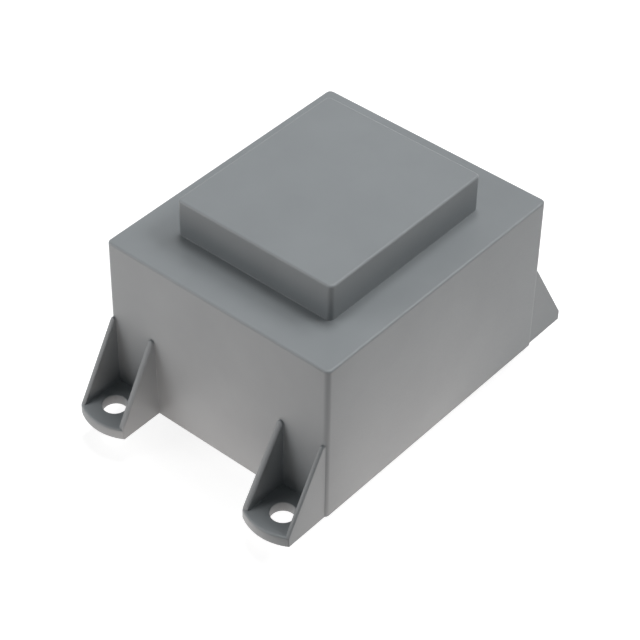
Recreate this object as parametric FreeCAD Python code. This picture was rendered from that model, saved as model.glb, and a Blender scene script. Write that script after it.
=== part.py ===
import FreeCAD, Part
import math
import os

# Potted board transformer: an EI core with a two-chamber coil, in a moulded housing with a screw lug at
# each corner, a raised centre over the coil, and solder pins through the potting underneath.
# Millimetres. The origin is the centre of the open underside, in the plane that sits on the board.
# +X is along the length, with a pair of lugs at each end, +Y is along the coil's axis, and +Z is up.

# Core: flat laminations, with the centre leg along Y
centre_leg = 18.0
outer_leg = 9.0
yoke_depth = 9.0
window_depth = 9.0
window_length = 27.0
stack_height = 18.8
packet_count = 10

# Coil former: a square tube with end flanges and a partition, and a pin rail below each flange
leg_side_clearance = 0.15
leg_stack_clearance = 0.2
tube_wall = 0.8
tube_corner = 0.8
former_end_clearance = 0.1
flange_thickness = 0.9
flange_leg_clearance = 0.7
flange_margin = 0.95
flange_corner = 1.5
primary_chamber = 12.6
former_lift = 2.2
rail_depth = 6.0
rail_height = 5.0
rail_end_margin = 2.3
rail_notch_width = 2.4
rail_notch_depth = 1.8
wire_groove_width = 1.3
wire_groove_depth = 1.2

# Windings and their tapes, built up from the tube to a clearance from the core's outer legs
primary_leg_clearance = 1.4
secondary_leg_clearance = 1.55
tape_thickness = 0.25
primary_wire = 0.4
secondary_wire = 0.9
wire_sides = 8
lead_start_inset = 1.5
lead_flange_clearance = 0.05
lead_sink = 0.3

# Solder pins, in two rows beyond the flanges
pin_pitch = 5.0
pin_row_reach = 4.1
primary_pin_steps = (-2, 2)
secondary_1_pin_steps = (-3, -1)
secondary_2_pin_steps = (1, 3)
pin_diameter = 1.0
pin_shank_width = 1.0
pin_shank_grip = 4.2
pin_length_below = 4.5
pin_tip_length = 0.6
pin_tip_diameter = 0.5
pin_wire_clearance = 0.05
solder_height = 1.1
solder_top_diameter = 3.6
solder_bottom_diameter = 2.4
solder_sides = 8

# Housing: walls and roof, and the room left for the potting around what it holds
wall = 1.3
roof = 1.5
dome_wall = 1.5
core_side_gap = 0.2
core_end_gap = 0.3
coil_side_gap = 0.25
coil_end_gap = 1.5
coil_top_gap = 0.3
seat_pad_height = 1.7
seat_pad_size = 4.0
seat_pad_spacing = 16.0
housing_edge_round = 0.6
dome_edge_round = 0.6
cavity_corner = 0.5

# Screw lugs: a plate with a bowed end, between two sloping ribs
lug_width = 10.1
lug_inset = 0.1
lug_side_reach = 8.8
lug_bow = 1.5
lug_plate = 2.1
rib_thickness = 1.1
rib_height = 16.5
rib_cap = 0.35
rib_top_round = 0.3
screw_hole = 4.5
screw_hole_reach = 4.9
screw_hole_inset = 4.9

# Potting
resin_recess = 0.8
resin_meniscus = 0.4

# Places worked out from the sizes above
core_length = centre_leg + 2 * window_depth + 2 * outer_leg
core_width = window_length + 2 * yoke_depth
former_length = window_length - 2 * former_end_clearance
flange_inside = former_length / 2 - flange_thickness
tube_half_width = centre_leg / 2 + leg_side_clearance + tube_wall
tube_half_height = stack_height / 2 + leg_stack_clearance + tube_wall
winding_room = window_depth - leg_side_clearance - tube_wall
primary_build = winding_room - tape_thickness - primary_leg_clearance
secondary_build = (winding_room - 2 * tape_thickness - secondary_leg_clearance) / 2
coil_build = max(primary_build, 2 * secondary_build + tape_thickness) + tape_thickness
flange_width = centre_leg + 2 * window_depth - 2 * flange_leg_clearance
flange_height = 2 * (tube_half_height + coil_build + flange_margin)
core_middle = former_lift + flange_height / 2
core_bottom = core_middle - stack_height / 2
core_top = core_middle + stack_height / 2
partition_start = primary_chamber - flange_inside
partition_end = partition_start + flange_thickness
cavity_length = core_length + 2 * core_side_gap
cavity_width = core_width + 2 * core_end_gap
ledge_underside = core_top + seat_pad_height
dome_cavity_length = flange_width + 2 * coil_side_gap
dome_cavity_width = former_length + 2 * coil_end_gap
dome_cavity_top = former_lift + flange_height + coil_top_gap
housing_length = cavity_length + 2 * wall
housing_width = cavity_width + 2 * wall
housing_height = ledge_underside + roof
dome_length = dome_cavity_length + 2 * dome_wall
dome_width = dome_cavity_width + 2 * dome_wall
dome_top = dome_cavity_top + roof
pin_row = former_length / 2 + pin_row_reach
outer_pin = pin_pitch * max(abs(step) for step in secondary_1_pin_steps + secondary_2_pin_steps)
touch = 1e-4
up = FreeCAD.Vector(0, 0, 1)
parts_folder = "parts"


def vector(x, y, z):
    return FreeCAD.Vector(x, y, z)


def block(x0, x1, y0, y1, z0, z1):
    return Part.makeBox(x1 - x0, y1 - y0, z1 - z0, vector(x0, y0, z0))


def edges_along(shape, axis):
    # Straight edges that run along one axis, given as 0, 1 or 2
    found = []
    for edge in shape.Edges:
        start, end = (edge.Vertexes[0].Point, edge.Vertexes[-1].Point)
        run = [abs(end[i] - start[i]) for i in range(3)]
        if run[axis] > touch and sum(run) - run[axis] < touch:
            found.append(edge)
    return found


def edges_in_plane(shape, z, half_length, half_width):
    # Edges that lie in the plane at height z, no further out than the given half sizes
    found = []
    for edge in shape.Edges:
        box = edge.BoundBox
        flat = abs(box.ZMin - z) < touch and abs(box.ZMax - z) < touch
        inside = box.XMax < half_length + touch and box.YMax < half_width + touch
        inside = inside and box.XMin > -half_length - touch and box.YMin > -half_width - touch
        if flat and inside:
            found.append(edge)
    return found


def upright_block(length, width, bottom, top, corner):
    # A block centred on the Z axis, with round upright corners
    shape = block(-length / 2, length / 2, -width / 2, width / 2, bottom, top)
    return shape.makeFillet(corner, edges_along(shape, 2))


def coil_block(half_width, half_height, y0, y1, corner):
    # A block centred on the coil's axis, with its corners round about that axis
    shape = block(-half_width, half_width, y0, y1, core_middle - half_height, core_middle + half_height)
    return shape.makeFillet(corner, edges_along(shape, 1))


def coil_ring(depth, build, y0, y1):
    # A ring around the coil's axis, from depth above the tube to depth plus build
    outer = coil_block(tube_half_width + depth + build, tube_half_height + depth + build, y0, y1,
                       tube_corner + depth + build)
    inner = coil_block(tube_half_width + depth, tube_half_height + depth, y0, y1, tube_corner + depth)
    return outer.cut(inner)


def four_ways(shape):
    # The shape and its mirror images in the two upright middle planes
    across = shape.mirror(vector(0, 0, 0), vector(1, 0, 0))
    pair = [shape, across]
    return pair + [one.mirror(vector(0, 0, 0), vector(0, 1, 0)) for one in pair]


def housing_outside():
    body = upright_block(housing_length, housing_width, 0, housing_height, housing_edge_round)
    rim = edges_in_plane(body, housing_height, housing_length / 2, housing_width / 2)
    body = body.makeFillet(housing_edge_round, rim)
    dome = upright_block(dome_length, dome_width, housing_height - roof / 2, dome_top, dome_edge_round)
    rim = edges_in_plane(dome, dome_top, dome_length / 2, dome_width / 2)
    dome = dome.makeFillet(dome_edge_round, rim)
    return body.fuse(dome).removeSplitter()


def housing_cavity():
    lower = upright_block(cavity_length, cavity_width, 0, ledge_underside, cavity_corner)
    half_length = dome_cavity_length / 2
    half_width = dome_cavity_width / 2
    upper = block(-half_length, half_length, -half_width, half_width, core_top, dome_cavity_top)
    return lower.fuse(upper).removeSplitter()


def lug():
    # The lug at +X, +Y. Its root starts inside the wall, and the cavity is cut after it is joined.
    root = cavity_length / 2
    face = housing_length / 2
    outer = housing_width / 2 - lug_inset
    inner = outer - lug_width
    middle = (outer + inner) / 2
    tip = face + lug_side_reach
    corners = [vector(tip, inner, 0), vector(root, inner, 0), vector(root, outer, 0), vector(tip, outer, 0)]
    bow = Part.Arc(corners[3], vector(tip + lug_bow, middle, 0), corners[0]).toShape()
    outline = Part.Wire(Part.makePolygon(corners).Edges + [bow])
    shape = Part.Face(outline).extrude(up * lug_plate)
    for y in (inner, outer - rib_thickness):
        shape = shape.fuse(rib(root, face, tip, y))
    return shape.cut(screw_hole_tool()).removeSplitter()


def rib(root, face, tip, y):
    # A rib's side outline: up the wall, a short level cap, then a straight slope to the lug's tip
    profile = [
        vector(root, y, 0),
        vector(root, y, rib_height),
        vector(face + rib_cap, y, rib_height),
        vector(tip, y, lug_plate),
        vector(tip, y, 0),
    ]
    shape = Part.Face(Part.makePolygon(profile + profile[:1])).extrude(vector(0, rib_thickness, 0))
    crest = [edge for edge in edges_along(shape, 1) if edge.BoundBox.ZMin > rib_height - touch
             and edge.BoundBox.XMin > face]
    return shape.makeFillet(rib_top_round, crest)


def screw_hole_tool():
    x = housing_length / 2 + screw_hole_reach
    y = housing_width / 2 - screw_hole_inset
    return Part.makeCylinder(screw_hole / 2, lug_plate, vector(x, y, 0))


def seat_pad():
    # A pad under the ledge that the core's outer leg seats against
    x = core_length / 2 - outer_leg / 2
    y = seat_pad_spacing / 2
    half = seat_pad_size / 2
    return block(x - half, x + half, y - half, y + half, core_top, ledge_underside)


def case_shell():
    shape = housing_outside()
    for one in four_ways(lug()):
        shape = shape.fuse(one)
    shape = shape.cut(housing_cavity())
    for pad in four_ways(seat_pad()):
        shape = shape.fuse(pad)
    return shape.removeSplitter()


def packet_range(number):
    height = stack_height / packet_count
    return core_bottom + number * height, core_bottom + (number + 1) * height


def yoke_side(number):
    # The side of the E sheets' yoke changes with each packet
    return -1 if number % 2 == 0 else 1


def e_packet(number):
    # The block of yoke and legs, less the two windows
    bottom, top = packet_range(number)
    side = yoke_side(number)
    outside = core_length / 2
    yoke = side * core_width / 2
    legs = -side * window_length / 2
    shape = block(-outside, outside, min(yoke, legs), max(yoke, legs), bottom, top)
    for sign in (-1, 1):
        near = sign * centre_leg / 2
        far = sign * (outside - outer_leg)
        window = block(min(near, far), max(near, far), -window_length / 2, window_length / 2, bottom, top)
        shape = shape.cut(window)
    return shape


def i_packet(number):
    # The bar that closes the E sheets' open side
    bottom, top = packet_range(number)
    side = -yoke_side(number)
    near = side * window_length / 2
    far = side * core_width / 2
    return block(-core_length / 2, core_length / 2, min(near, far), max(near, far), bottom, top)


def pin_x(step):
    return step * pin_pitch


def pin_places():
    # Each pin's node name, its X, and the side its row is on
    rows = [("primary", primary_pin_steps, -1)]
    rows.append(("secondary", secondary_1_pin_steps + secondary_2_pin_steps, 1))
    return [(f"{name}_pin_{i + 1}", pin_x(step), side)
            for name, steps, side in rows for i, step in enumerate(steps)]


def pin_shank(x, side):
    # The square part, from the potting's surface up into the rail
    half = pin_shank_width / 2
    y = side * pin_row
    return block(x - half, x + half, y - half, y + half, resin_recess, former_lift + pin_shank_grip)


def pin(x, side):
    # Square shank gripped in the rail, round stem below the potting, and a tapered tip
    y = side * pin_row
    stem_bottom = pin_tip_length - pin_length_below
    stem = Part.makeCylinder(pin_diameter / 2, resin_recess - stem_bottom, vector(x, y, stem_bottom))
    tip = Part.makeCone(pin_tip_diameter / 2, pin_diameter / 2, pin_tip_length,
                        vector(x, y, -pin_length_below))
    return pin_shank(x, side).fuse(stem).fuse(tip).removeSplitter()


def pin_rail(side):
    # The rail under one yoke: pin holes, a wire groove to each pin and notches between the pin places
    inside = side * former_length / 2
    outside = side * (former_length / 2 + rail_depth)
    half = outer_pin + rail_end_margin
    shape = block(-half, half, min(inside, outside), max(inside, outside), former_lift,
                  former_lift + rail_height)
    notch_bottom = outside - side * rail_notch_depth
    places = [(i + 0.5) * pin_pitch for i in range(int(half / pin_pitch))]
    for x in places + [-x for x in places]:
        notch = block(x - rail_notch_width / 2, x + rail_notch_width / 2, min(notch_bottom, outside),
                      max(notch_bottom, outside), former_lift, former_lift + rail_height)
        shape = shape.cut(notch)
    return shape


def wire_groove(x, side):
    # From the chamber, through the flange and along the rail's underside to beyond the pin
    half = wire_groove_width / 2
    start = side * flange_inside
    end = side * (pin_row + half)
    top = former_lift + wire_groove_depth
    return block(x - half, x + half, min(start, end), max(start, end), former_lift, top)


def flange(y0, y1):
    # A plate across the coil's axis, with its corners cut off
    half_width = flange_width / 2
    half_height = flange_height / 2
    shape = block(-half_width, half_width, y0, y1, core_middle - half_height, core_middle + half_height)
    return shape.makeChamfer(flange_corner, edges_along(shape, 1))


def bobbin():
    half_length = former_length / 2
    shape = coil_block(tube_half_width, tube_half_height, -half_length, half_length, tube_corner)
    walls = [(-half_length, -flange_inside), (partition_start, partition_end), (flange_inside, half_length)]
    for y0, y1 in walls:
        shape = shape.fuse(flange(y0, y1))
    for side in (-1, 1):
        shape = shape.fuse(pin_rail(side))
    bore_width = centre_leg / 2 + leg_side_clearance
    bore_height = stack_height / 2 + leg_stack_clearance
    shape = shape.cut(block(-bore_width, bore_width, -half_length, half_length,
                            core_middle - bore_height, core_middle + bore_height))
    for name, x, side in pin_places():
        shape = shape.cut(wire_groove(x, side)).cut(pin_shank(x, side))
    return shape.removeSplitter()


def polygon(centre, across, radius, sides):
    # A closed outline of equal sides round a centre, square to a direction
    turn = FreeCAD.Rotation(up, across)
    angles = [(i + 0.5) * 2 * math.pi / sides for i in range(sides + 1)]
    points = [centre + turn.multVec(vector(radius * math.cos(a), radius * math.sin(a), 0)) for a in angles]
    return Part.makePolygon(points)


def wire_run(points, diameter):
    # Wire drawn with few sides, mitred at its bends
    path = Part.makePolygon(points)
    outline = polygon(points[0], points[1] - points[0], diameter / 2, wire_sides)
    return Part.Wire(path).makePipeShell([outline], True, False, 1)


def lead(x, side, depth, build, diameter):
    # A winding's end: down out of the ring, along beside the flange, then through its groove to the pin
    flat_end = tube_half_width - tube_corner - diameter
    start_x = math.copysign(min(abs(x), flat_end), x)
    start_z = core_middle - tube_half_height - depth - build / 2
    groove_z = former_lift + diameter * lead_sink
    beside_flange = side * (flange_inside - diameter / 2 - lead_flange_clearance)
    beside_pin = side * (pin_row - pin_shank_width / 2 - pin_wire_clearance)
    points = [
        vector(start_x, side * (flange_inside - lead_start_inset), start_z),
        vector(start_x, beside_flange, groove_z),
    ]
    if start_x != x:
        points.append(vector(x, beside_flange, groove_z))
    points.append(vector(x, beside_pin, groove_z))
    return wire_run(points, diameter)


def leads(steps, side, depth, build, diameter):
    shapes = [lead(pin_x(step), side, depth, build, diameter) for step in steps]
    joined = shapes[0]
    for shape in shapes[1:]:
        joined = joined.fuse(shape)
    return joined


def primary_leads():
    return leads(primary_pin_steps, -1, 0, primary_build, primary_wire)


def secondary_1_leads():
    return leads(secondary_1_pin_steps, 1, 0, secondary_build, secondary_wire)


def secondary_2_leads():
    depth = secondary_build + tape_thickness
    return leads(secondary_2_pin_steps, 1, depth, secondary_build, secondary_wire)


def primary_winding():
    ring = coil_ring(0, primary_build, -flange_inside, partition_start)
    return ring.fuse(primary_leads()).removeSplitter()


def primary_tape():
    ring = coil_ring(primary_build, tape_thickness, -flange_inside, partition_start)
    return ring.cut(primary_leads())


def secondary_1_winding():
    ring = coil_ring(0, secondary_build, partition_end, flange_inside)
    return ring.fuse(secondary_1_leads()).removeSplitter()


def secondary_inner_tape():
    ring = coil_ring(secondary_build, tape_thickness, partition_end, flange_inside)
    return ring.cut(secondary_1_leads())


def secondary_2_winding():
    depth = secondary_build + tape_thickness
    ring = coil_ring(depth, secondary_build, partition_end, flange_inside)
    return ring.fuse(secondary_2_leads()).cut(secondary_1_leads()).removeSplitter()


def secondary_outer_tape():
    depth = secondary_build + tape_thickness + secondary_build
    ring = coil_ring(depth, tape_thickness, partition_end, flange_inside)
    return ring.cut(secondary_1_leads()).cut(secondary_2_leads())


def solder_joint(x, side, wires):
    # Solder under the rail, round the pin and the wire's end, wider at the top
    y = side * pin_row
    lower = polygon(vector(x, y, former_lift - solder_height), up, solder_bottom_diameter / 2, solder_sides)
    upper = polygon(vector(x, y, former_lift), up, solder_top_diameter / 2, solder_sides)
    shape = Part.makeLoft([lower, upper], True)
    return shape.cut(pin_shank(x, side)).cut(wires)


def potting_resin(held):
    # The cavity above the filling level, less everything the potting surrounds
    shape = housing_cavity()
    for pad in four_ways(seat_pad()):
        shape = shape.cut(pad)
    air = upright_block(cavity_length, cavity_width, -resin_recess, resin_recess, cavity_corner)
    rim = edges_in_plane(air, resin_recess, cavity_length / 2, cavity_width / 2)
    shape = shape.cut(air.makeChamfer(resin_meniscus, rim))
    for piece in held:
        shape = shape.cut(piece)
    return shape.removeSplitter()


def wires_of(name, x):
    if name.startswith("primary"):
        return primary_leads()
    first = x in [pin_x(step) for step in secondary_1_pin_steps]
    return secondary_1_leads() if first else secondary_2_leads()


def all_nodes():
    nodes = {
        "bobbin": bobbin(),
        "primary_winding": primary_winding(),
        "primary_tape": primary_tape(),
        "secondary_1_winding": secondary_1_winding(),
        "secondary_inner_tape": secondary_inner_tape(),
        "secondary_2_winding": secondary_2_winding(),
        "secondary_outer_tape": secondary_outer_tape(),
    }
    for number in range(packet_count):
        nodes[f"e_laminations_{number + 1}"] = e_packet(number)
        nodes[f"i_laminations_{number + 1}"] = i_packet(number)
    for name, x, side in pin_places():
        nodes[name] = pin(x, side)
        nodes[name.replace("pin", "solder_joint")] = solder_joint(x, side, wires_of(name, x))
    nodes["potting_resin"] = potting_resin(list(nodes.values()))
    nodes["case_shell"] = case_shell()
    return nodes


def main():
    os.makedirs(parts_folder, exist_ok=True)
    for name, shape in all_nodes().items():
        shape.exportStep(f"{parts_folder}/{name}.step")
        print(name, "solids", len(shape.Solids), "valid", shape.isValid(), "volume", round(shape.Volume, 2))


main()
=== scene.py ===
import bmesh
import bpy
import math
import numpy as np
from mathutils import Matrix, Vector


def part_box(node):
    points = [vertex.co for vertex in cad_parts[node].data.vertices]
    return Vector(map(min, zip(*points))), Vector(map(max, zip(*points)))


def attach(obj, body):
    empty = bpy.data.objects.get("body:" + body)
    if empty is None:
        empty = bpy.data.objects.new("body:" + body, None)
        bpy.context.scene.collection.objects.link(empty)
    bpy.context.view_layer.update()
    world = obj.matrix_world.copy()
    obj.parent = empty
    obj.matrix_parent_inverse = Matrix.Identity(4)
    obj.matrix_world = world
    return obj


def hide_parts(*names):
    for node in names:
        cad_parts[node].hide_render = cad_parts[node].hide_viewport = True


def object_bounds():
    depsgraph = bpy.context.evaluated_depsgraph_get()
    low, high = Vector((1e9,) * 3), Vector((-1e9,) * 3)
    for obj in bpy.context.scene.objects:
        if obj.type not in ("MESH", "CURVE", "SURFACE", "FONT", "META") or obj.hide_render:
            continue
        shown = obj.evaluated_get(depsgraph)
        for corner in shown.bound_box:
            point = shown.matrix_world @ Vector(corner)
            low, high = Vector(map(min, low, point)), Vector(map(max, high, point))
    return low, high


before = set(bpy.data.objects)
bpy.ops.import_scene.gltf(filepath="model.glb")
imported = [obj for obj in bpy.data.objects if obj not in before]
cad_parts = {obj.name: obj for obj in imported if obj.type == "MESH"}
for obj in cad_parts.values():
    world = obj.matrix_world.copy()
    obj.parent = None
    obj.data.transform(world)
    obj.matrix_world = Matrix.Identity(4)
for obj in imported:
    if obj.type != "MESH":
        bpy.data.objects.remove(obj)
cadBox = [list(corner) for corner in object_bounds()]
mm = 0.001  # every shape below is written in millimetres
print("packed model loaded,", len(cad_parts), "nodes")


def linear(hexColour):
    # sRGB hex to linear RGBA
    values = [int(hexColour[i:i + 2], 16) / 255 for i in (1, 3, 5)]
    return tuple(v / 12.92 if v <= 0.04045 else ((v + 0.055) / 1.055) ** 2.4 for v in values) + (1.0,)


def connect(tree, node, settings=None, links=None):
    # Sets a node's sockets, properties or colour stops by name, and links its inputs to (node, output) pairs
    for name, value in (settings or {}).items():
        if name == "stops":
            elements = node.color_ramp.elements
            for element, (position, colour) in zip(elements, (value[0], value[-1])):
                element.position = position
                element.color = colour
            for position, colour in value[1:-1]:
                elements.new(position).color = colour
        elif isinstance(name, int) or name in node.inputs.keys():
            node.inputs[name].default_value = value
        else:
            setattr(node, name, value)
    for name, (source, output) in (links or {}).items():
        tree.links.new(source.outputs[output], node.inputs[name])


def add(tree, kind, settings=None, links=None):
    # Adds a node of this kind with its settings and links
    node = tree.nodes.new(kind)
    connect(tree, node, settings, links)
    return node


def emptyTree(owner):
    # The node tree of a material or a world, without its first nodes
    owner.use_nodes = True
    owner.node_tree.nodes.clear()
    return owner.node_tree


def newMaterial(name):
    material = bpy.data.materials.new(name)
    tree = emptyTree(material)
    shader = add(tree, "ShaderNodeBsdfPrincipled")
    add(tree, "ShaderNodeOutputMaterial", links={"Surface": (shader, "BSDF")})
    place = add(tree, "ShaderNodeTexCoord")
    return material, tree, shader, place


def grey(value):
    return (value, value, value, 1.0)


def bands(pitch):
    # Wave Texture's scale for bands that repeat at this pitch in millimetres: one band is 2 pi / 20 units
    return 2 * math.pi * 1000 / (20 * pitch)


# Glass filled nylon, moulded against a spark eroded steel face: an even satin grey with a very fine matt
# grain, and faint cloudy patches where the melt flowed. Sizes and depths are in millimetres. The real grain
# is under 0.1 mm, too fine to show, and is drawn at 0.3 mm.
caseLook = {
    "colour": "#8b9093",
    "flowDark": "#898e91",
    "flowLight": "#8d9295",
    "flowSize": 14.0,
    "grainSize": 0.30,
    "grainDepth": 0.010,
    "swirlSize": 6.0,
    "swirlDepth": 0.012,
    "roughness": (0.36, 0.46),
}


def mouldedCasePlastic():
    look = caseLook
    material, tree, shader, place = newMaterial("greyNylonSparkErodedMoulding")
    flow = add(tree, "ShaderNodeTexNoise",
               {"Scale": 1000 / look["flowSize"], "Detail": 3.0, "Roughness": 0.55},
               {"Vector": (place, "Object")})
    tint = add(tree, "ShaderNodeValToRGB",
               {"stops": [(0.35, linear(look["flowDark"])), (0.5, linear(look["colour"])),
                          (0.65, linear(look["flowLight"]))]},
               {"Fac": (flow, "Fac")})
    grain = add(tree, "ShaderNodeTexNoise",
                {"Scale": 1000 / look["grainSize"], "Detail": 4.0, "Roughness": 0.7},
                {"Vector": (place, "Object")})
    swirl = add(tree, "ShaderNodeTexNoise", {"Scale": 1000 / look["swirlSize"], "Detail": 1.0},
                {"Vector": (place, "Object")})
    low, high = look["roughness"]
    gloss = add(tree, "ShaderNodeValToRGB", {"stops": [(0.3, grey(low)), (0.7, grey(high))]},
                {"Fac": (grain, "Fac")})
    waves = add(tree, "ShaderNodeBump", {"Strength": 1.0, "Distance": look["swirlDepth"] * mm},
                {"Height": (swirl, "Fac")})
    pits = add(tree, "ShaderNodeBump", {"Strength": 1.0, "Distance": look["grainDepth"] * mm},
               {"Height": (grain, "Fac"), "Normal": (waves, "Normal")})
    connect(tree, shader, {"IOR": 1.50},
            {"Base Color": (tint, "Color"), "Roughness": (gloss, "Color"), "Normal": (pits, "Normal")})
    return material


# Two-part polyurethane, poured in and left to level: smooth and slightly glossy, gently uneven, with a few
# small pits where bubbles came up
resinLook = {
    "colour": "#4b4e50",
    "cloud": "#55585a",
    "cloudSize": 9.0,
    "waveSize": 11.0,
    "waveDepth": 0.10,
    "bubbleSpacing": 3.2,
    "bubbleDepth": 0.18,
    "roughness": (0.20, 0.34),
}


def pottedResin():
    look = resinLook
    material, tree, shader, place = newMaterial("darkPolyurethanePouredPotting")
    cloud = add(tree, "ShaderNodeTexNoise", {"Scale": 1000 / look["cloudSize"], "Detail": 4.0},
                {"Vector": (place, "Object")})
    tint = add(tree, "ShaderNodeValToRGB",
               {"stops": [(0.2, linear(look["colour"])), (0.8, linear(look["cloud"]))]},
               {"Fac": (cloud, "Fac")})
    low, high = look["roughness"]
    gloss = add(tree, "ShaderNodeValToRGB", {"stops": [(0.2, grey(low)), (0.8, grey(high))]},
                {"Fac": (cloud, "Fac")})
    wave = add(tree, "ShaderNodeTexNoise", {"Scale": 1000 / look["waveSize"], "Detail": 0.0},
               {"Vector": (place, "Object")})
    level = add(tree, "ShaderNodeBump", {"Strength": 1.0, "Distance": look["waveDepth"] * mm},
                {"Height": (wave, "Fac")})
    cells = add(tree, "ShaderNodeTexVoronoi", {"Scale": 1000 / look["bubbleSpacing"], "Randomness": 1.0},
                {"Vector": (place, "Object")})
    pit = add(tree, "ShaderNodeValToRGB", {"stops": [(0.04, grey(0.0)), (0.09, grey(1.0))]},
              {"Fac": (cells, "Distance")})
    pits = add(tree, "ShaderNodeBump", {"Strength": 0.8, "Distance": look["bubbleDepth"] * mm},
               {"Height": (pit, "Color"), "Normal": (level, "Normal")})
    connect(tree, shader, {"IOR": 1.52},
            {"Base Color": (tint, "Color"), "Roughness": (gloss, "Color"), "Normal": (pits, "Normal")})
    return material


# Drawn brass pin with hot-dipped bright tin: pale and shiny, with drawing lines along the pin, which are
# drawn a few times wider than the real ones so that they show close up
pinLook = {"colour": "#d9d8d4", "dull": "#b9b8b4", "lineWidth": 0.08, "lineDepth": 0.006,
           "roughness": (0.16, 0.30)}


def tinnedPin():
    look = pinLook
    material, tree, shader, place = newMaterial("brightTinDippedPin")
    stretch = add(tree, "ShaderNodeMapping", {"Scale": (1.0, 1.0, 0.05)}, {"Vector": (place, "Object")})
    lines = add(tree, "ShaderNodeTexNoise", {"Scale": 1000 / look["lineWidth"], "Detail": 2.0},
                {"Vector": (stretch, "Vector")})
    tint = add(tree, "ShaderNodeValToRGB",
               {"stops": [(0.3, linear(look["dull"])), (0.6, linear(look["colour"]))]},
               {"Fac": (lines, "Fac")})
    low, high = look["roughness"]
    gloss = add(tree, "ShaderNodeValToRGB", {"stops": [(0.3, grey(low)), (0.7, grey(high))]},
                {"Fac": (lines, "Fac")})
    ridges = add(tree, "ShaderNodeBump", {"Strength": 0.5, "Distance": look["lineDepth"] * mm},
                 {"Height": (lines, "Fac")})
    connect(tree, shader, {"Metallic": 1.0},
            {"Base Color": (tint, "Color"), "Roughness": (gloss, "Color"), "Normal": (ridges, "Normal")})
    return material


# Tin and copper solder, cooled in air: satin grey metal with small crystals
solderLook = {"colour": "#bcbdbe", "dark": "#9c9d9f", "crystal": 0.35, "crystalDepth": 0.02,
              "roughness": (0.30, 0.48)}


def cooledSolder():
    look = solderLook
    material, tree, shader, place = newMaterial("satinSolderAirCooled")
    crystals = add(tree, "ShaderNodeTexVoronoi", {"Scale": 1000 / look["crystal"]},
                   {"Vector": (place, "Object")})
    tint = add(tree, "ShaderNodeValToRGB",
               {"stops": [(0.1, linear(look["colour"])), (0.7, linear(look["dark"]))]},
               {"Fac": (crystals, "Distance")})
    low, high = look["roughness"]
    gloss = add(tree, "ShaderNodeValToRGB", {"stops": [(0.1, grey(low)), (0.7, grey(high))]},
                {"Fac": (crystals, "Distance")})
    facets = add(tree, "ShaderNodeBump", {"Strength": 0.6, "Distance": look["crystalDepth"] * mm},
                 {"Height": (crystals, "Distance")})
    connect(tree, shader, {"Metallic": 1.0},
            {"Base Color": (tint, "Color"), "Roughness": (gloss, "Color"), "Normal": (facets, "Normal")})
    return material


# Glass filled nylon coil former, black, moulded with a fine eroded face, whose grain is drawn at 0.35 mm
# for the same reason as the housing's
bobbinLook = {"colour": "#1b1b1c", "fibre": "#29292a", "grainSize": 0.35, "grainDepth": 0.008,
              "roughness": (0.42, 0.58)}


def mouldedBobbin():
    look = bobbinLook
    material, tree, shader, place = newMaterial("blackGlassFilledNylonMoulding")
    fibres = add(tree, "ShaderNodeTexNoise",
                 {"Scale": 1000 / look["grainSize"], "Detail": 5.0, "Roughness": 0.7},
                 {"Vector": (place, "Object")})
    tint = add(tree, "ShaderNodeValToRGB",
               {"stops": [(0.4, linear(look["colour"])), (0.75, linear(look["fibre"]))]},
               {"Fac": (fibres, "Fac")})
    low, high = look["roughness"]
    gloss = add(tree, "ShaderNodeValToRGB", {"stops": [(0.3, grey(low)), (0.7, grey(high))]},
                {"Fac": (fibres, "Fac")})
    grain = add(tree, "ShaderNodeBump", {"Strength": 1.0, "Distance": look["grainDepth"] * mm},
                {"Height": (fibres, "Fac")})
    connect(tree, shader, None,
            {"Base Color": (tint, "Color"), "Roughness": (gloss, "Color"), "Normal": (grain, "Normal")})
    return material


# Enamelled copper wire wound in layers: a glossy red-brown lacquer over metal, ribbed at the wire's pitch,
# with painted shade: a darker colour in the groove between each two turns
wireLook = {"colour": "#a8572f", "dark": "#7d3a1d", "fine": 0.4, "thick": 0.9, "ribShare": 1 / 3,
            "metallic": 0.85, "roughness": 0.28, "coat": 0.6, "coatRoughness": 0.12}


def woundCopper(name, wire):
    # The coil's axis is Y, so the turns lie side by side along Y
    look = wireLook
    material, tree, shader, place = newMaterial(name)
    turns = add(tree, "ShaderNodeTexWave",
                {"wave_type": "BANDS", "bands_direction": "Y", "Scale": bands(wire), "Distortion": 0.0},
                {"Vector": (place, "Object")})
    # The dark colour at the low part of each band is painted shade in the groove between two turns
    tint = add(tree, "ShaderNodeValToRGB",
               {"stops": [(0.05, linear(look["dark"])), (0.6, linear(look["colour"]))]},
               {"Fac": (turns, "Fac")})
    ribs = add(tree, "ShaderNodeBump", {"Strength": 1.0, "Distance": wire * look["ribShare"] * mm},
               {"Height": (turns, "Fac")})
    connect(tree, shader, {"Metallic": look["metallic"], "Roughness": look["roughness"],
                           "Coat Weight": look["coat"], "Coat Roughness": look["coatRoughness"]},
            {"Base Color": (tint, "Color"), "Normal": (ribs, "Normal")})
    return material


# Yellow polyester film tape, wound tight over the turns: glossy, with the wire's ridges showing through, and
# painted shade: a darker yellow in the valleys between the ridges
tapeLook = {"colour": "#dcb736", "valleyShade": "#c99f22", "ridge": 0.9, "ridgeDepth": 0.05, "roughness": 0.25}


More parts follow.
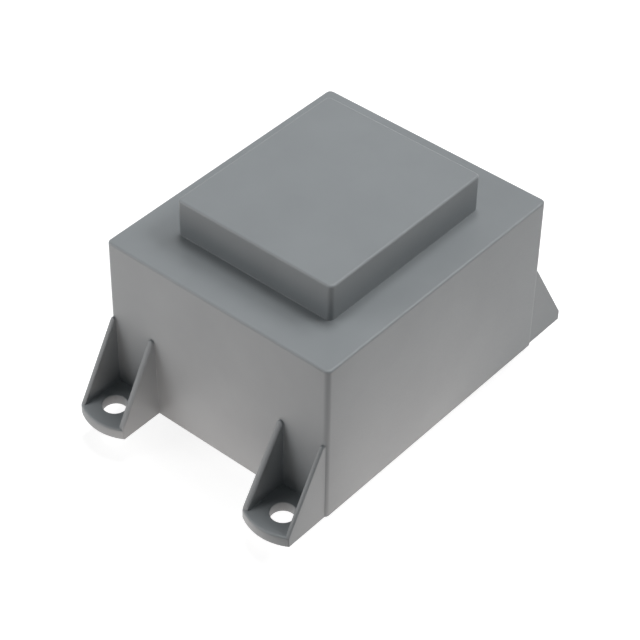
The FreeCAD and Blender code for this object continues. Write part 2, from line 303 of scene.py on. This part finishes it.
def polyesterTape():
    look = tapeLook
    material, tree, shader, place = newMaterial("yellowPolyesterFilmTape")
    ridges = add(tree, "ShaderNodeTexWave", {"wave_type": "BANDS", "bands_direction": "Y",
                                             "Scale": bands(look["ridge"]), "Distortion": 0.6},
                 {"Vector": (place, "Object")})
    # The darker yellow at the low part of each ridge is painted shade in the valleys
    tint = add(tree, "ShaderNodeValToRGB",
               {"stops": [(0.0, linear(look["valleyShade"])), (0.7, linear(look["colour"]))]},
               {"Fac": (ridges, "Fac")})
    dents = add(tree, "ShaderNodeBump", {"Strength": 0.7, "Distance": look["ridgeDepth"] * mm},
                {"Height": (ridges, "Fac")})
    connect(tree, shader, {"Roughness": look["roughness"]},
            {"Base Color": (tint, "Color"), "Normal": (dents, "Normal")})
    return material


# Silicon steel sheets 0.47 mm thick, punched and stacked: dull blue-grey oxide on the flat faces, and fine
# bright and dark lines on the cut edges
steelLook = {"colour": "#6f7275", "edge": "#909294", "gap": "#3c3e40", "sheet": 0.47, "gapDepth": 0.05,
             "cloudSize": 5.0, "roughness": (0.38, 0.55)}


def stackedSteel():
    look = steelLook
    material, tree, shader, place = newMaterial("siliconSteelPunchedSheets")
    sheets = add(tree, "ShaderNodeTexWave", {"wave_type": "BANDS", "bands_direction": "Z",
                                             "Scale": bands(look["sheet"]), "Distortion": 0.2},
                 {"Vector": (place, "Object")})
    cloud = add(tree, "ShaderNodeTexNoise", {"Scale": 1000 / look["cloudSize"], "Detail": 3.0},
                {"Vector": (place, "Object")})
    lines = add(tree, "ShaderNodeValToRGB",
                {"stops": [(0.0, linear(look["gap"])), (0.25, linear(look["colour"])),
                           (0.9, linear(look["edge"]))]},
                {"Fac": (sheets, "Fac")})
    low, high = look["roughness"]
    gloss = add(tree, "ShaderNodeValToRGB", {"stops": [(0.3, grey(low)), (0.7, grey(high))]},
                {"Fac": (cloud, "Fac")})
    grooves = add(tree, "ShaderNodeBump", {"Strength": 0.8, "Distance": look["gapDepth"] * mm},
                  {"Height": (sheets, "Fac")})
    connect(tree, shader, {"Metallic": 1.0},
            {"Base Color": (lines, "Color"), "Roughness": (gloss, "Color"), "Normal": (grooves, "Normal")})
    return material


casePlastic = mouldedCasePlastic()
resin = pottedResin()
pinTin = tinnedPin()
solder = cooledSolder()
bobbinNylon = mouldedBobbin()
fineCopper = woundCopper("enamelledCopperFineWire", wireLook["fine"])
thickCopper = woundCopper("enamelledCopperThickWire", wireLook["thick"])
filmTape = polyesterTape()
coreSteel = stackedSteel()

finishes = [("_pin_", pinTin), ("solder", solder), ("laminations", coreSteel), ("tape", filmTape),
            ("primary_winding", fineCopper), ("winding", thickCopper), ("bobbin", bobbinNylon),
            ("potting", resin), ("case", casePlastic)]
for name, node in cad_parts.items():
    chosen = next(finish for word, finish in finishes if word in name)
    node.data.materials.clear()
    node.data.materials.append(chosen)
print("materials on all the nodes")


def gridFaces(rows, columns, start=0, closedRows=False, flip=False):
    # Four-sided faces of a grid whose columns always close on themselves, as one array of indices
    lastRow = rows if closedRows else rows - 1
    r, c = np.meshgrid(np.arange(lastRow), np.arange(columns), indexing="ij")
    right = (c + 1) % columns
    below = (r + 1) % rows
    faces = np.stack([r * columns + c, r * columns + right, below * columns + right, below * columns + c], -1)
    faces = faces.reshape(-1, 4) + start
    return faces[:, ::-1] if flip else faces


# Points nearer than this in millimetres become one, and edges that turn more than this in degrees stay sharp
meshFinish = {"mergeDistance": 0.002, "sharpAngle": 40}


def pieceFromGrids(name, grids, body="root"):
    # One object from grids of points in millimetres, each given as (points, closedRows, flip)
    points = []
    faces = []
    count = 0
    for grid, closedRows, flip in grids:
        rows, columns = grid.shape[:2]
        points.append(grid.reshape(-1, 3))
        faces.append(gridFaces(rows, columns, count, closedRows, flip))
        count += rows * columns
    points = np.concatenate(points) * mm
    faces = np.concatenate(faces)
    mesh = bpy.data.meshes.new(name)
    mesh.from_pydata(points.tolist(), [], faces.tolist())
    form = bmesh.new()
    form.from_mesh(mesh)
    near = meshFinish["mergeDistance"] * mm
    bmesh.ops.remove_doubles(form, verts=form.verts, dist=near)
    bmesh.ops.dissolve_degenerate(form, edges=form.edges, dist=near)
    bmesh.ops.recalc_face_normals(form, faces=form.faces)
    form.to_mesh(mesh)
    form.free()
    mesh.shade_smooth()
    mesh.set_sharp_from_angle(angle=math.radians(meshFinish["sharpAngle"]))
    piece = bpy.data.objects.new(name, mesh)
    bpy.context.scene.collection.objects.link(piece)
    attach(piece, body)
    return piece


def steps(start, end, count):
    return np.linspace(start, end, count)


def quarterTurn(count):
    # Angles from 0 to 90 degrees
    return np.radians(steps(0, 90, count))


def roundedRings(rings, cornerSteps, sideSteps):
    # Each ring is a rectangle with round corners, given by half length, half width, corner radius and
    # height. A corner is an arc about its own centre, and a side is divided evenly between two corners.
    a, b, r, z = (rings[:, i:i + 1] for i in range(4))
    arcs = []
    for k, (sx, sy) in enumerate([(1, 1), (-1, 1), (-1, -1), (1, -1)]):
        angle = np.radians(90 * k + steps(0, 90, cornerSteps))[None, :]
        arcs.append(np.stack([sx * (a - r) + r * np.cos(angle), sy * (b - r) + r * np.sin(angle)], -1))
    share = steps(0, 1, sideSteps + 1)[1:-1][None, :, None]
    parts = []
    for k in range(4):
        parts.append(arcs[k])
        here = arcs[k][:, -1:, :]
        there = arcs[(k + 1) % 4][:, :1, :]
        parts.append(here * (1 - share) + there * share)
    flat = np.concatenate(parts, 1)
    height = np.broadcast_to(z[:, :, None], flat.shape[:2] + (1,))
    return np.concatenate([flat, height], -1)


# The housing in millimetres. A triple is half the length, half the width and the height of its top. A hold
# is a narrow flat beside a round or a corner, which keeps the shading of the wide face next to it even. A
# ring is one more row of points: at this height in the cavity, and this far in from the raised centre's edge.
caseShape = {
    "body": (28.5, 24.1, 32.8),
    "bodyCorner": 1.0,
    "bodyTopRound": 0.42,
    "dome": (19.2, 16.65, 40.0),
    "domeCorner": 0.95,
    "domeTopRound": 0.42,
    "domeFootRound": 0.05,
    "rimRound": 0.15,
    "cavity": (27.2, 22.8, 31.3),
    "cavityCorner": 0.5,
    "domeCavity": (17.55, 14.9, 38.5),
    "domeCavityCorner": 0.4,
    "hold": 0.1,
    "cavityHold": 0.2,
    "domeCavityHold": 0.3,
    "cavityRing": 2.0,
    "domeTopRing": 4.0,
    "leastCorner": 0.01,
    "seam": 0.001,
}


def bodyRings():
    # The section from the middle of the inner roof, down the inside, under the rim, up the outside, over
    # the ledge and the raised centre, to the middle of its top. Rounds are quarter circles.
    look = caseShape
    rim, hold = look["rimRound"], look["hold"]
    quarter = quarterTurn(7)
    inward, upward = 1 - np.cos(quarter), 1 - np.sin(quarter)
    rings = []

    def inset(half, width, corner, amounts, heights):
        for amount, height in zip(amounts, heights):
            rounded = max(corner - amount, look["leastCorner"])
            rings.append((half - amount, width - amount, rounded, height))

    def seam(half, width, height):
        # The middle of a flat: a ring so thin that it closes to a line
        thin = look["seam"]
        rings.append((half - width + 10 * thin, thin, thin / 2, height))

    # The inside, which the potting hides, has plain corners
    a, b, top = look["domeCavity"]
    corner, beside = look["domeCavityCorner"], look["domeCavityHold"]
    seam(a, b, top)
    inset(a, b, corner, [beside, 0, 0], [top, top, top - beside])
    c, d, under = look["cavity"]
    inset(a, b, corner, [0], [under])
    corner, beside = look["cavityCorner"], look["cavityHold"]
    inset(c, d, corner, [beside, 0, 0], [under, under, under - beside])
    inset(c, d, corner, [0, 0], [look["cavityRing"], rim + hold])
    inset(c, d, corner, -rim * inward, rim * upward)

    a, b, top = look["body"]
    corner, turn = look["bodyCorner"], look["bodyTopRound"]
    inset(a, b, corner, rim * upward, rim * inward)
    inset(a, b, corner, [0, 0, 0], [rim + hold, top / 2, top - turn - hold])
    inset(a, b, corner, turn * inward, top - turn * upward)
    inset(a, b, corner, [turn + hold], [top])

    e, f, peak = look["dome"]
    corner, foot, turn = look["domeCorner"], look["domeFootRound"], look["domeTopRound"]
    inset(e, f, corner, [-foot - hold], [top])
    inset(e, f, corner, -foot * upward, top + foot * inward)
    inset(e, f, corner, [0, 0], [top + foot + hold, peak - turn - hold])
    inset(e, f, corner, turn * inward, peak - turn * upward)
    inset(e, f, corner, [turn + hold, look["domeTopRing"]], [peak, peak])
    seam(e, f, peak)
    return roundedRings(np.array(rings), cornerSteps=10, sideSteps=10)


# A screw lug at +X and +Y in millimetres: the wall's face, where ribs and plate start inside the wall, the
# tip, and how far the plate's end bows out past it. The hole is its X, its Y and its radius.
lugShape = {
    "face": 28.5,
    "root": 27.6,
    "plateRoot": 28.2,
    "tip": 37.1,
    "tipRound": 0.08,
    "bow": 1.5,
    "middle": 18.62,
    "halfWidth": 5.1,
    "sideTuck": 0.12,
    "plate": 2.1,
    "plateTopRound": 0.38,
    "plateBottomRound": 0.15,
    "outerRib": (0.85, 0.42, 0.0, 0.0),
    "innerRib": (1.15, 0.56, 0.34, 0.4),
    "ribHeight": 16.6,
    "ribCap": 0.35,
    "ribTopRound": 0.3,
    "ribFoot": 0.02,
    "rootRound": 0.06,
    "rootDepth": 0.3,
    "hole": (33.4, 19.2, 2.25),
    "holeRound": 0.14,
}


def hollowRound(distance, radius):
    # How far a small inside corner of this radius stands out, at a distance from the wall it meets
    near = np.clip(radius - distance, 0, radius)
    return radius - np.sqrt(radius ** 2 - near ** 2)


def crestHeight(x, end):
    # The top of a rib: level at the wall, then an arc, then a straight slope to this height at the lug's tip
    look = lugShape
    corner = look["face"] + look["ribCap"]
    fall = (look["ribHeight"] - end) / (look["tip"] - corner)
    slope = math.atan(fall)
    radius = look["ribTopRound"]
    start = corner - radius * math.tan(slope / 2)
    arc = look["ribHeight"] - radius + np.sqrt(np.clip(radius ** 2 - (x - start) ** 2, 0, None))
    line = look["ribHeight"] - fall * (x - corner)
    turned = np.where(x < start + radius * math.sin(slope), arc, line)
    return np.where(x < start, look["ribHeight"], turned)


def ribGrid(outward):
    # A closed cross-section, up one side, over the round crest and down the other, carried along X from
    # inside the wall to the tip. Each side swells in a hollow round where it meets the wall or the plate.
    # A rib's values are its thickness, the round of its crest, how far it leans in at the top, and how high
    # its crest ends above the plate. q is a point's distance from the rib's own middle, towards the hole.
    look = lugShape
    face, tip, plate = look["face"], look["tip"], look["plate"]
    thickness, edge, lean, end = look["outerRib"] if outward > 0 else look["innerRib"]
    half = thickness / 2
    # Rows along X, closest at the wall's hollow round, over the corner of the crest and at the tip
    nearWall = face + steps(0, look["rootRound"], 7)
    overCorner = face + steps(0.28, 0.62, 9)
    downSlope = steps(face + 0.9, tip - 0.5, 22)
    nearTip = tip - np.array([0.4, 0.3, 0.22, 0.15, 0.1, 0.06, 0.03, 0.01, 0])
    x = np.concatenate([[look["root"]], nearWall, overCorner, downSlope, nearTip])
    atTip = hollowRound(tip - x, look["tipRound"])[:, None]
    atEnd = hollowRound(tip - x, max(end, look["tipRound"]))[:, None]
    crest = crestHeight(x, plate + end)[:, None] - atEnd
    # Points up a side: inside the plate, through the hollow round on it, then by shares of the height left
    turn = quarterTurn(9)[None, :]
    reach = look["rootRound"] + 0.01
    levels = np.concatenate([[look["ribFoot"], 1.0, plate], plate + steps(0.03, reach, 7)])[None, :]
    shares = np.array([0.25, 0.5, 0.75, 0.97, 1.0])[None, :]
    crown = crest - edge
    low = np.minimum(levels, crown)
    high = plate + reach + np.clip(crown - plate - reach, 0, None) * shares
    high = np.minimum(high, crown)
    sideZ = np.concatenate([low, high], 1)
    topZ = crest - edge * (1 - np.sin(turn))
    topQ = half - edge * (1 - np.cos(turn))
    atWall = hollowRound(x - face, look["rootRound"])[:, None]
    atPlate = hollowRound(sideZ - plate, look["rootRound"]) * (sideZ > plate - 0.001)
    wallOut = atWall * (0 if outward > 0 else 1)
    innerQ = half + np.maximum(atWall, atPlate)
    outerQ = np.broadcast_to(half + wallOut - atTip, sideZ.shape)
    topInner = topQ + atWall
    topOuter = topQ + wallOut - atTip
    z = np.concatenate([sideZ, topZ, topZ[:, ::-1], sideZ[:, ::-1]], 1)
    q = np.concatenate([innerQ, topInner, -topOuter[:, ::-1], -outerQ[:, ::-1]], 1)
    middle = look["middle"] + outward * (look["halfWidth"] - half)
    y = middle - outward * (q + lean * z / look["ribHeight"])
    points = np.stack([np.broadcast_to(x[:, None], y.shape), y, z], -1)
    first = points[:1].copy()
    last = points[-1:].copy()
    first[..., 1:] = first[..., 1:].mean(1, keepdims=True)
    last[..., 1:] = last[..., 1:].mean(1, keepdims=True)
    return np.concatenate([first, points, last], 0)


def lugOutline(inset):
    # The lug's outline, moved inwards by this much: an arc at the tip, two sides and the end in the wall
    look = lugShape
    halfWidth = look["halfWidth"]
    fullRadius = (halfWidth ** 2 + look["bow"] ** 2) / (2 * look["bow"])
    centre = look["tip"] + look["bow"] - fullRadius
    radius = fullRadius - inset
    width = halfWidth - look["sideTuck"] - inset
    end = look["plateRoot"] + inset
    reach = math.asin(width / radius)
    arcCount, sideCount, endCount = 41, 14, 10
    angle = steps(-reach, reach, arcCount)
    arc = np.stack([centre + radius * np.cos(angle), radius * np.sin(angle)], -1)
    sideX = steps(arc[0, 0], end, sideCount + 1)[1:]
    side = np.stack([sideX, np.full(sideCount, width)], -1)
    endSide = np.stack([np.full(endCount, end), steps(width, -width, endCount + 2)[1:-1]], -1)
    return np.concatenate([arc, side, endSide, side[::-1] * [1, -1]]) + [0, look["middle"]]


def plateGrid():
    # Round the lug's outline, with the hole's circle in step with it, a closed section runs up the hole's
    # wall, out over the top, down the edge and back underneath, with a quarter circle at each turn
    look = lugShape
    outline = lugOutline(0)
    hx, hy, hr = look["hole"]
    ray = outline - [hx, hy]
    ray = ray / np.linalg.norm(ray, axis=1, keepdims=True)
    quarter = quarterTurn(6)
    inward, upward = 1 - np.cos(quarter), 1 - np.sin(quarter)
    plate, hold = look["plate"], caseShape["hold"]
    rows = []

    def holeRow(out, z):
        rows.append(np.concatenate([[hx, hy] + ray * (hr + out), np.full((len(ray), 1), z)], 1))

    def edgeRow(inset, z):
        rows.append(np.concatenate([lugOutline(inset), np.full((len(ray), 1), z)], 1))

    turn = look["holeRound"]
    for out, z in zip(turn * inward[::-1], turn * upward[::-1]):
        holeRow(out, z)
    holeRow(0, plate / 2)
    for out, z in zip(turn * inward, plate - turn * upward):
        holeRow(out, z)
    holeRow(turn + hold, plate)
    turn = look["plateTopRound"]
    edgeRow(turn + hold, plate)
    for inset, z in zip(turn * inward[::-1], plate - turn * upward[::-1]):
        edgeRow(inset, z)
    turn = look["plateBottomRound"]
    for inset, z in zip(turn * inward, turn * upward):
        edgeRow(inset, z)
    edgeRow(turn + hold, 0)
    holeRow(look["holeRound"] + hold, 0)
    return np.stack(rows)


def rootFilletGrid():
    # The hollow round between the plate and the wall, from rib to rib, as a three-sided strip whose back
    # corner lies inside the wall and the plate
    look = lugShape
    radius, depth = look["rootRound"], look["rootDepth"]
    quarter = quarterTurn(6)[::-1]
    face, plate = look["face"], look["plate"]
    x = np.concatenate([[face - depth], face + radius * (1 - np.sin(quarter)), [face + radius]])
    z = np.concatenate([[plate + radius], plate + radius * (1 - np.cos(quarter)), [plate - depth]])
    inner = look["halfWidth"] - look["outerRib"][0] / 2
    y = look["middle"] + np.array([-inner, inner])
    grid = np.stack([np.broadcast_to(x, (2, len(x))), np.broadcast_to(y[:, None], (2, len(x))),
                     np.broadcast_to(z, (2, len(z)))], -1)
    first = np.broadcast_to(grid[:1].mean(1, keepdims=True), grid[:1].shape)
    last = np.broadcast_to(grid[-1:].mean(1, keepdims=True), grid[-1:].shape)
    return np.concatenate([first, grid, last])


def mouldedCase():
    # The body's rings and the four lugs, each mirrored from the one at +X and +Y, as one mesh
    grids = [(bodyRings(), False, True)]
    lugParts = [(ribGrid(1), False), (ribGrid(-1), False), (plateGrid(), True), (rootFilletGrid(), False)]
    for sx in (1, -1):
        for sy in (1, -1):
            for points, closedRows in lugParts:
                grids.append((points * [sx, sy, 1], closedRows, sx * sy < 0))
    case = pieceFromGrids("mouldedCase", grids)
    case.data.materials.append(casePlastic)
    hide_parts("case_shell")
    return case


case = mouldedCase()
print("case made,", len(case.data.polygons), "faces")


# The potting's level above the housing's rim, how far its skin tucks into walls and pins, and how far each
# hollow curve reaches out and climbs, in millimetres
meniscusShape = {
    "level": 0.8,
    "tuck": 0.15,
    "wallReach": 1.6,
    "wallClimb": 0.5,
    "pinReach": 0.9,
    "pinClimb": 0.36,
    "pinRadius": 0.5,
    "leastCorner": 0.05,
    "curveSteps": 13,
    "pinSides": 32,
}


def meniscusSection(reach, climb):
    # A closed section beside a wall, as distances from it and heights: inside the resin, then back along a
    # curve that leaves the resin level and climbs as the square of the nearness to the wall
    look = meniscusShape
    share = steps(1, 0, look["curveSteps"])
    distance = np.concatenate([[-look["tuck"], reach], reach * share, [-look["tuck"]]])
    inside = look["level"] + look["tuck"]
    curve = look["level"] - climb * (1 - share) ** 2
    return distance, np.concatenate([[inside, inside], curve, [look["level"] - climb]])


def pottingMenisci():
    # Where the resin wetted the walls and the pins: a hollow curve along the cavity, and one round each pin
    look = meniscusShape
    a, b, _ = caseShape["cavity"]
    distance, height = meniscusSection(look["wallReach"], look["wallClimb"])
    corner = np.clip(caseShape["cavityCorner"] - distance, look["leastCorner"], None)
    rings = np.stack([a - distance, b - distance, corner, height], -1)
    grids = [(roundedRings(rings, cornerSteps=8, sideSteps=10), True, False)]
    distance, height = meniscusSection(look["pinReach"], look["pinClimb"])
    radius = (look["pinRadius"] + distance)[:, None]
    angle = steps(0, 2 * math.pi, look["pinSides"] + 1)[None, :-1]
    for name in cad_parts:
        if "_pin_" in name:
            low, high = (np.array(corner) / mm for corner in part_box(name))
            x, y = (low[:2] + high[:2]) / 2
            ringX = x + radius * np.cos(angle)
            ringZ = np.broadcast_to(height[:, None], ringX.shape)
            grids.append((np.stack([ringX, y + radius * np.sin(angle), ringZ], -1), True, False))
    menisci = pieceFromGrids("pottingMenisci", grids)
    menisci.data.materials.append(resin)
    return menisci


menisci = pottingMenisci()
print("menisci made,", len(menisci.data.polygons), "faces")


# Metres and watts. A glow is its centre on the floor, the radii between which it fades, and its strength;
# the floor sends it up at the object as a white table would. A softbox is its place, size and power.
studioLook = {
    "floorSize": 3.0,
    "floorWhite": 0.85,
    "floorGrey": 0.5,
    "glowColour": "#fff0e8",
    "glows": [((-0.045, 0.0, 0.0), (0.005, 0.03), 2.54), ((-0.01, -0.035, 0.0), (0.01, 0.04), 1.38),
              ((-0.14, 0.06, 0.0), (0.03, 0.12), 2.27), ((0.0, -0.09, 0.0), (0.03, 0.1), 0.6),
              ((0.11, 0.08, 0.0), (0.03, 0.1), 1.2)],
    "worldStrength": 0.0,
    "aim": (0, 0, 0.02),
    "softboxes": {
        "topSoftbox": ((0.18, 0.10, 0.85), 0.25, 2.5),
        "rearSoftbox": ((0.46, -0.12, 0.65), 0.3, 1.08),
        "rearSideSoftbox": ((0.62, -0.09, 0.49), 0.4, 0.1),
        "leftSoftbox": ((-0.60, 0.50, 0.35), 0.5, 2.3),
        "rightSoftbox": ((0.35, -0.42, 0.62), 0.3, 1.97),
    },
}


def lightRays(tree):
    # 1 for rays that come from the camera, a glossy face or through glass, and 0 for the rest
    ray = add(tree, "ShaderNodeLightPath")
    seen = add(tree, "ShaderNodeMath", {"operation": "MAXIMUM"},
               {0: (ray, "Is Camera Ray"), 1: (ray, "Is Glossy Ray")})
    return add(tree, "ShaderNodeMath", {"operation": "MAXIMUM"},
               {0: (seen, "Value"), 1: (ray, "Is Transmission Ray")})


def studioFloor():
    # A square that the pins stand on: pale from above with the object's shadow on it, and clear from below
    look = studioLook
    half = look["floorSize"] / 2
    level = cadBox[0][2]
    mesh = bpy.data.meshes.new("studioFloor")
    mesh.from_pydata([(-half, -half, level), (half, -half, level), (half, half, level), (-half, half, level)],
                     [], [(0, 1, 2, 3)])
    floor = bpy.data.objects.new("studioFloor", mesh)
    bpy.context.scene.collection.objects.link(floor)
    material = bpy.data.materials.new("paleStudioFloor")
    tree = emptyTree(material)
    place = add(tree, "ShaderNodeTexCoord")
    total = None
    for centre, (near, far), amount in look["glows"]:
        away = add(tree, "ShaderNodeVectorMath", {"operation": "DISTANCE", 1: centre},
                   {0: (place, "Object")})
        fade = add(tree, "ShaderNodeMapRange",
                   {"interpolation_type": "SMOOTHSTEP", "From Min": near, "From Max": far,
                    "To Min": amount, "To Max": 0.0},
                   {"Value": (away, "Value")})
        if total is not None:
            fade = add(tree, "ShaderNodeMath", {"operation": "ADD"}, {0: total, 1: (fade, 0)})
        total = (fade, 0)
    rays = lightRays(tree)
    strength = add(tree, "ShaderNodeMix", {"data_type": "FLOAT", 3: look["floorWhite"]},
                   {0: (rays, "Value"), 2: total})
    tint = add(tree, "ShaderNodeMix", {"data_type": "RGBA", 6: linear(look["glowColour"]), 7: grey(1.0)},
               {0: (rays, "Value")})
    glow = add(tree, "ShaderNodeEmission", None, {"Color": (tint, 2), "Strength": (strength, 0)})
    pale = add(tree, "ShaderNodeBsdfDiffuse", {"Color": grey(look["floorGrey"])})
    lit = add(tree, "ShaderNodeAddShader", None, {0: (glow, 0), 1: (pale, 0)})
    clear = add(tree, "ShaderNodeBsdfTransparent")
    side = add(tree, "ShaderNodeNewGeometry")
    both = add(tree, "ShaderNodeMixShader", None, {0: (side, "Backfacing"), 1: (lit, 0), 2: (clear, 0)})
    add(tree, "ShaderNodeOutputMaterial", None, {"Surface": (both, 0)})
    floor.data.materials.append(material)


def studioWorld():
    world = bpy.data.worlds.new("studioWorld")
    bpy.context.scene.world = world
    tree = emptyTree(world)
    strength = add(tree, "ShaderNodeMix", {"data_type": "FLOAT", 2: studioLook["worldStrength"], 3: 1.0},
                   {0: (lightRays(tree), "Value")})
    sky = add(tree, "ShaderNodeBackground", {"Color": (1, 1, 1, 1)}, {"Strength": (strength, 0)})
    add(tree, "ShaderNodeOutputWorld", None, {"Surface": (sky, 0)})


def softbox(name, place, size, power):
    # A square lamp that faces the object
    light = bpy.data.lights.new(name, "AREA")
    light.shape = "SQUARE"
    light.size = size
    light.energy = power
    lamp = bpy.data.objects.new(name, light)
    bpy.context.scene.collection.objects.link(lamp)
    towards = Vector(studioLook["aim"]) - Vector(place)
    turn = towards.to_track_quat("-Z", "Y").to_matrix().to_4x4()
    lamp.matrix_world = Matrix.Translation(Vector(place)) @ turn


# The photograph's camera: its place in metres, its angles in degrees, its lens and sensor in millimetres
cameraLook = {
    "place": (-0.2184, -0.18066, 0.26495),
    "azimuth": -50.156,
    "elevation": 41.92,
    "roll": 1.098,
    "lens": 123.27,
    "sensor": 36,
    "nearest": 0.01,
}


def photoCamera():
    look = cameraLook
    azimuth, elevation, roll = (math.radians(look[key]) for key in ("azimuth", "elevation", "roll"))
    back = Vector((math.sin(azimuth) * math.cos(elevation), -math.cos(azimuth) * math.cos(elevation),
                   math.sin(elevation)))
    right = Vector((math.cos(azimuth), math.sin(azimuth), 0))
    upward = back.cross(right)
    turnedRight = right * math.cos(roll) + upward * math.sin(roll)
    turnedUp = upward * math.cos(roll) - right * math.sin(roll)
    data = bpy.data.cameras.new("photoCamera")
    data.lens = look["lens"]
    data.sensor_width = look["sensor"]
    data.clip_start = look["nearest"]
    camera = bpy.data.objects.new("photoCamera", data)
    bpy.context.scene.collection.objects.link(camera)
    turn = Matrix((turnedRight, turnedUp, back)).transposed().to_4x4()
    camera.matrix_world = Matrix.Translation(Vector(look["place"])) @ turn
    bpy.context.scene.camera = camera


studioFloor()
studioWorld()
for name, (place, size, power) in studioLook["softboxes"].items():
    softbox(name, place, size, power)
photoCamera()
bpy.context.scene.view_settings.view_transform = "Standard"
print("studio ready")
